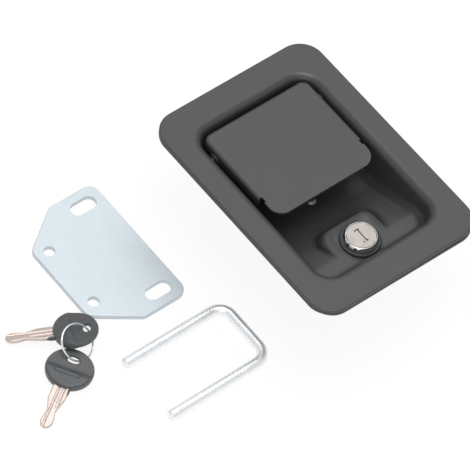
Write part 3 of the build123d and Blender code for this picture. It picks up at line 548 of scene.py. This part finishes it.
# Zinc plating on a smooth blanking: pale and bluish, with clouds that are hardly there.
zinc_plate, tree, place = start_material("zinc_plate_satin")
cloud = add_node(tree, "TexNoise", {"Vector": place, "Scale": 1 / (14.3 * mm), "Detail": 4.0})
fine = add_node(tree, "TexNoise", {"Vector": place, "Scale": 1 / (1.667 * mm), "Detail": 2.0})
tint = add_node(
    tree,
    "Mix",
    {0: cloud.outputs["Fac"], 6: linear("c3ccd1"), 7: linear("ced6da")},
    data_type="RGBA",
)
gloss = add_node(tree, "MapRange", {"Value": fine.outputs["Fac"], "To Min": 0.52, "To Max": 0.60})
shader = add_node(
    tree,
    "BsdfPrincipled",
    {"Base Color": tint.outputs[2], "Metallic": 1.0, "Roughness": gloss.outputs["Result"]},
)
close_material(tree, shader)
coat(zinc_plate, "striker_plate")


# ---- U-bolt ----
# A 6 mm rod bent twice, with a rolled thread on both legs. It lies flat on the floor, with its legs
# pointing back along X from its bar.

# Zinc plating on drawn rod: nearly white, with a soft bloom over the metal's gloss.
zinc_rod, tree, place = start_material("zinc_plate_rod")
cloud = add_node(tree, "TexNoise", {"Vector": place, "Scale": 1 / (4.545 * mm), "Detail": 3.0})
tint = add_node(
    tree,
    "Mix",
    {0: cloud.outputs["Fac"], 6: linear("eef1f3"), 7: linear("fafbfc")},
    data_type="RGBA",
)
gloss = add_node(tree, "MapRange", {"Value": cloud.outputs["Fac"], "To Min": 0.30, "To Max": 0.42})
shader = add_node(
    tree,
    "BsdfPrincipled",
    {"Base Color": tint.outputs[2], "Metallic": 0.75, "Roughness": gloss.outputs["Result"]},
)
close_material(tree, shader)

bolt_low, bolt_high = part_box("u_bolt")
rod_radius = (bolt_high.z - bolt_low.z) / 2
bend_radius = 8.0 * mm
leg_length = bolt_high.x - bolt_low.x - rod_radius - bend_radius
bar_length = bolt_high.y - bolt_low.y - 2 * rod_radius - 2 * bend_radius
bend_length = np.pi / 2 * bend_radius
rod_length = 2 * leg_length + bar_length + 2 * bend_length
# Rings lie close on the threaded ends and further apart between them.
thread_length = 50.0 * mm
threaded = np.linspace(0, thread_length, 450)
plain = np.linspace(thread_length, rod_length - thread_length, 120)[1:-1]
along = np.concatenate([threaded, plain, rod_length - threaded[::-1]])
first = np.clip((along - leg_length) / bend_length, 0, 1)
second = np.clip((along - leg_length - bend_length - bar_length) / bend_length, 0, 1)
# Each bend turns the rod a quarter circle: the place on it is the bend's centre plus its radius at
# the angle turned so far, and the straight runs are measured on from there.
run = np.clip(along, 0, leg_length)
across = np.clip(along - leg_length - bend_length, 0, bar_length)
back = np.clip(along - leg_length - 2 * bend_length - bar_length, 0, leg_length)
a, b = first * np.pi / 2, second * np.pi / 2
rod_x = bolt_low.x + run + bend_radius * np.sin(a) - bend_radius * (1 - np.cos(b)) - back
rod_y = bolt_high.y - rod_radius - bend_radius * (1 - np.cos(a)) - across - bend_radius * np.sin(b)
heading = -(a + b)
turn = np.linspace(0, 2 * np.pi, 28, endpoint=False)[None, :]
# The plating has filled the thread, and leaves it 0.13 mm deep.
rod_thread = (rod_radius, 1.0 * mm, 0.13 * mm, 0.2 * mm, thread_length)
from_start = along[:, None]
from_end = rod_length - along[:, None]
ridge = np.minimum(thread(from_start, turn, *rod_thread), thread(from_end, turn, *rod_thread))
rod_chamfer = 0.7 * mm
ridge = np.minimum(ridge, rod_radius - rod_chamfer + np.minimum(from_start, from_end))
out = ridge * np.cos(turn)
rod_grid = np.stack(
    [
        rod_x[:, None] - np.sin(heading)[:, None] * out,
        rod_y[:, None] + np.cos(heading)[:, None] * out,
        (bolt_low.z + bolt_high.z) / 2 + ridge * np.sin(turn),
    ],
    axis=-1,
)
bolt = build("threaded_u_bolt", "u_bolt", zinc_rod, [rod_grid])
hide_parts("u_bolt")


# ---- keys and ring ----
# Two identical keys with moulded black heads on a wire ring. Each is drawn flat about its eyelet and
# then laid in its place, one head resting on the other.

# Moulded nylon: dark grey, with a spark-eroded grain about 0.2 mm across, drawn at 1.4 mm to show.
key_plastic, tree, place = start_material("key_head_nylon")
grain = add_node(tree, "TexNoise", {"Vector": place, "Scale": 1 / (1.4286 * mm), "Detail": 2.0})
tint = add_node(
    tree,
    "Mix",
    {0: grain.outputs["Fac"], 6: linear("46484a"), 7: linear("515355")},
    data_type="RGBA",
)
bump = add_node(
    tree, "Bump", {"Height": grain.outputs["Fac"], "Strength": 0.2, "Distance": 0.05 * mm}
)
shader = add_node(
    tree,
    "BsdfPrincipled",
    {"Base Color": tint.outputs[2], "Roughness": 0.34, "Normal": bump.outputs["Normal"]},
)
close_material(tree, shader)

# Nickel-plated brass: a warm white sheen, with faint clouds where the brass shows through.
key_brass, tree, place = start_material("brass_nickel_plated")
cloud = add_node(tree, "TexNoise", {"Vector": place, "Scale": 1 / (2.5 * mm), "Detail": 3.0})
tint = add_node(
    tree,
    "Mix",
    {0: cloud.outputs["Fac"], 6: linear("cabcb3"), 7: linear("dccfc7")},
    data_type="RGBA",
)
shader = add_node(
    tree, "BsdfPrincipled", {"Base Color": tint.outputs[2], "Metallic": 1.0, "Roughness": 0.5}
)
close_material(tree, shader)


def key_points(grid, eyelet, heading, pitch, roll):
    """Turn a key's own points into place: along its blade, across it and through it, from the eyelet.

    The blade's direction is the heading lowered by the pitch. The key is then rolled about it.
    """
    h, p, r = np.radians([heading, pitch, roll])
    flat = np.array([np.cos(h), np.sin(h), 0])
    up = np.array([0, 0, 1])
    forward = flat * np.cos(p) - up * np.sin(p)
    upright = flat * np.sin(p) + up * np.cos(p)
    beside = np.cross(up, flat)
    normal = upright * np.cos(r) - beside * np.sin(r)
    side = np.cross(normal, forward)
    return np.array(eyelet) + grid @ np.stack([forward, side, normal])


def squared(turn, power):
    """The cosine and sine of each angle, each raised to a power with its sign kept.

    A power under 1 swells a circle towards a square.
    """
    cosine, sine = np.cos(turn), np.sin(turn)
    return np.sign(cosine) * np.abs(cosine) ** power, np.sign(sine) * np.abs(sine) ** power


def key_head_grid():
    """The moulded head: every point lies between the eyelet's outline and the head's outline.

    Its height is half the thickness there, times a rounded fall towards either outline. The thickness
    rises past the eyelet, and a rounded bar stands on the rise.
    """
    turn = np.linspace(0, 2 * np.pi, 160, endpoint=False)[None, :]
    round_x, round_y = squared(turn, 0.8)
    eyelet_x, eyelet_y = 1.9 * mm * round_x, 3.2 * mm * round_y
    rim_x = 5.9 * mm + 12.2 * mm * np.cos(turn)
    rim_y = 13.2 * mm * np.sin(turn)
    loop = np.linspace(0, 2, 160, endpoint=False)[:, None]
    on_top = loop < 1
    share = 0.5 - 0.5 * np.cos(np.pi * loop)
    x = eyelet_x + (rim_x - eyelet_x) * share
    y = eyelet_y + (rim_y - eyelet_y) * share
    from_rim = np.hypot(rim_x - x, rim_y - y)
    from_eyelet = np.hypot(x - eyelet_x, y - eyelet_y)
    thin_half, rise, rise_start, rise_width = 1.2 * mm, 1.65 * mm, 4.9 * mm, 4.8 * mm
    step = np.clip((x - rise_start) / rise_width, 0, 1)
    half = thin_half + rise * step * step * (3 - 2 * step)
    bar_x, bar_half_width, bar_half_length, bar_end = 9.3 * mm, 1.7 * mm, 7.0 * mm, 0.7 * mm
    bar = np.clip(1 - ((x - bar_x) / bar_half_width) ** 2, 0, 1) ** 0.8
    bar = bar * np.clip((bar_half_length - np.abs(y)) / bar_end, 0, 1) ** 0.5
    bar_height = np.where(on_top, 0.8 * mm, 0.1 * mm)
    fall = 1 - np.clip(1 - from_rim / (0.62 * half), 0, 1) ** 2.4
    lip = 1 - np.clip(1 - from_eyelet / (0.7 * mm), 0, 1) ** 2
    height = half * fall ** (1 / 2.4) * lip**0.5 + bar_height * bar
    return np.stack([x, y, np.where(on_top, height, -height)], axis=-1)


def bar_grid(start, end, middle, half_width, half_height):
    """A bar along the blade, with a squared circle as its section.

    The section is drawn in towards both ends by a low power of a half wave of the sine.
    """
    share = np.linspace(0, 1, 14)[:, None]
    reach = np.sin(np.pi * np.clip(share, 0.02, 0.98)) ** 0.35
    turn = np.linspace(0, 2 * np.pi, 20, endpoint=False)[None, :]
    across, up = squared(turn, 0.6)
    x = start + (end - start) * share + 0 * turn
    return np.stack([x, middle + half_width * reach * across, half_height * reach * up], axis=-1)


def key_blade_grid():
    """The cut blade: a flat bar whose two edges wave in to a waist and out to a bulb at the tip.

    Each edge is a smooth curve through the depths of its cuts, given in mm as places along the key
    and half widths there. The top has a long and a short milled groove, and the underside the long
    one, each a shallow parabola across its width.
    """
    right_cuts = [(12, 4.4), (20, 4.5), (24, 4.35), (28, 3.3), (32.5, 2.3), (37, 3.3)]
    left_cuts = [(12, 4.4), (20, 4.5), (26, 4.4), (30, 3.1), (32.5, 2.3), (36, 2.8)]
    right_bulb = [(40, 3.3), (42.2, 2.0), (43.1, 0.5)]
    left_bulb = [(40, 3.2), (42.2, 2.2), (43.1, 0.5)]
    blade_start, blade_end = 12.0, 43.1
    x = np.linspace(blade_start, blade_end, 150)
    smooth = np.hanning(9) / np.hanning(9).sum()
    edges = []
    for cuts in (right_cuts + right_bulb, left_cuts + left_bulb):
        station, half_width = np.array(cuts).T
        edge = np.interp(x, station, half_width)
        edges.append(np.convolve(np.pad(edge, 4, mode="edge"), smooth, mode="valid"))
    half_loop = np.linspace(-1, 1, 33)
    wave = np.concatenate([half_loop, half_loop[::-1]])[None, :]
    top = np.concatenate([np.ones(33), -np.ones(33)])[None, :]
    y = wave * np.where(wave > 0, edges[0][:, None], edges[1][:, None])
    half_thickness, chamfer_depth, groove_depth = 1.1, 0.25, 0.35
    chamfer = chamfer_depth * np.clip((np.abs(wave) - 0.9) / 0.1, 0, 1)
    tip = np.sqrt(np.clip((43.3 - x) / 1.2, 0.15, 1))[:, None]
    long_groove = groove_depth * np.clip(1 - ((y + 1.0) / 0.8) ** 2, 0, 1)
    short_groove = groove_depth * np.clip(1 - ((y - 1.7) / 1.0) ** 2, 0, 1)
    short_groove = short_groove * np.clip((31 - x[:, None]) / 2, 0, 1)
    cut = np.where(top > 0, long_groove + short_groove, long_groove[:, ::-1])
    z = top * (half_thickness * tip - chamfer - cut * tip)
    return np.stack([x[:, None] + 0 * y, y, z], axis=-1) * mm


# Each key's eyelet, and its heading, pitch and roll in degrees, as the CAD lays it.
key_places = {
    "key_1": ((-135.249 * mm, 15.623 * mm, -48.466 * mm), 150.0, 6.6576, 17.0),
    "key_2": ((-151.535 * mm, 5.113 * mm, -51.391 * mm), 212.0, 3.9763, 0.0),
}
# A strip of the head's dark plastic along one edge of each blade, running about 4 mm past the head,
# is painted shade: it stands for the shadow line beside the blade's root.
painted_shade_strip = bar_grid(15.0 * mm, 21.6 * mm, 4.3 * mm, 0.6 * mm, 1.3 * mm)
for name, lie in key_places.items():
    head_points = key_points(key_head_grid()[::-1], *lie)
    head = build(f"{name}_moulded_head", name, key_plastic, [head_points], closed=True)
    painted_shade_strip_piece = build(f"{name}_head_painted_shade_strip", name, key_plastic, [key_points(painted_shade_strip, *lie)])
    blade = build(f"{name}_cut_blade", name, key_brass, [key_points(key_blade_grid()[::-1], *lie)])
    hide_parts(f"{name}_head")
    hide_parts(f"{name}_blade")
coat(zinc_bright, "key_ring")


# ---- studio ----
# A white floor a hair below the foot of the latch case, a pale room, three soft lights, and the
# camera, which looks down on the latch from its left front.
floor_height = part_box("latch_case")[0].z - 0.2 * mm
floor_reach = 3.0
floor_corners = [
    (side_x * floor_reach, side_y * floor_reach, floor_height)
    for side_x, side_y in ((-1, -1), (1, -1), (1, 1), (-1, 1))
]
floor_mesh = bpy.data.meshes.new("floor")
floor_mesh.from_pydata(floor_corners, [], [(0, 1, 2, 3)])
floor = bpy.data.objects.new("floor", floor_mesh)
bpy.context.scene.collection.objects.link(floor)

# White paper: it takes the object's shadow, and part of what the camera and the metals see of it is
# its own white, which keeps the shadow pale.
own_white = 0.9
floor_white, tree, place = start_material("floor_paper")
rays = add_node(tree, "LightPath")
seen = add_node(
    tree,
    "Math",
    {0: rays.outputs["Is Camera Ray"], 1: rays.outputs["Is Glossy Ray"]},
    operation="MAXIMUM",
)
seen = add_node(
    tree, "Math", {0: seen.outputs[0], 1: rays.outputs["Is Transmission Ray"]}, operation="MAXIMUM"
)
part = add_node(tree, "Math", {0: seen.outputs[0], 1: own_white}, operation="MULTIPLY")
paper = add_node(tree, "BsdfDiffuse", {"Color": linear("fcfcfc")})
glow = add_node(tree, "Emission", {"Color": linear("ffffff"), "Strength": 1.0})
shader = add_node(tree, "MixShader", {0: part.outputs[0], 1: paper.outputs[0], 2: glow.outputs[0]})
close_material(tree, shader)
floor_mesh.materials.append(floor_white)

# The room is pale overhead and darker towards the horizon, which gives metal its dark edges.
world = bpy.data.worlds.new("room")
world.use_nodes = True
bpy.context.scene.world = world
tree = world.node_tree
tree.nodes.clear()
direction = add_node(tree, "TexCoord").outputs["Generated"]
parts = add_node(tree, "SeparateXYZ", {"Vector": direction})
level = add_node(
    tree, "MapRange", {"Value": parts.outputs["Z"], "From Max": 0.8, "To Min": 0.57, "To Max": 0.72}
)
sky = add_node(
    tree, "Background", {"Color": linear("fdfeff"), "Strength": level.outputs["Result"]}
)
add_node(tree, "OutputWorld", {"Surface": sky.outputs[0]})


def soft_light(name, place, aim, size, power):
    """A square area light of a given size and power, at place and turned to aim."""
    lamp = bpy.data.lights.new(name, "AREA")
    lamp.size = size
    lamp.energy = power
    light = bpy.data.objects.new(name, lamp)
    light.location = place
    light.rotation_euler = (Vector(aim) - Vector(place)).to_track_quat("-Z", "Y").to_euler()
    bpy.context.scene.collection.objects.link(light)


# The far light is mirrored by the flat coated faces, the overhead one by the lock, and the near one
# fills the bevels and edges that face the camera.
kit_middle = (-0.03, 0.0, 0.0)
soft_light("far_light", (0.64, 0.62, 1.31), kit_middle, size=1.1, power=3.9)
soft_light("overhead_light", (-0.03, 0.0, 1.6), kit_middle, size=0.7, power=9.0)
soft_light("near_fill", (-1.49, -1.44, 1.2), kit_middle, size=1.4, power=8.0)

lens = bpy.data.cameras.new("camera")
lens.lens = 291.06
lens.sensor_width = 36.0
camera = bpy.data.objects.new("camera", lens)
camera_place = (-0.8981, -0.7840, 1.6167)
right = Vector((0.7786, -0.6184, 0.1065))
down = Vector((-0.4627, -0.6804, -0.5683))
ahead = Vector((0.4239, 0.3932, -0.8159))
facing = Matrix((right, -down, -ahead)).transposed().to_4x4()
camera.matrix_world = Matrix.Translation(camera_place) @ facing
bpy.context.scene.collection.objects.link(camera)
bpy.context.scene.camera = camera
bpy.context.scene.view_settings.view_transform = "Standard"
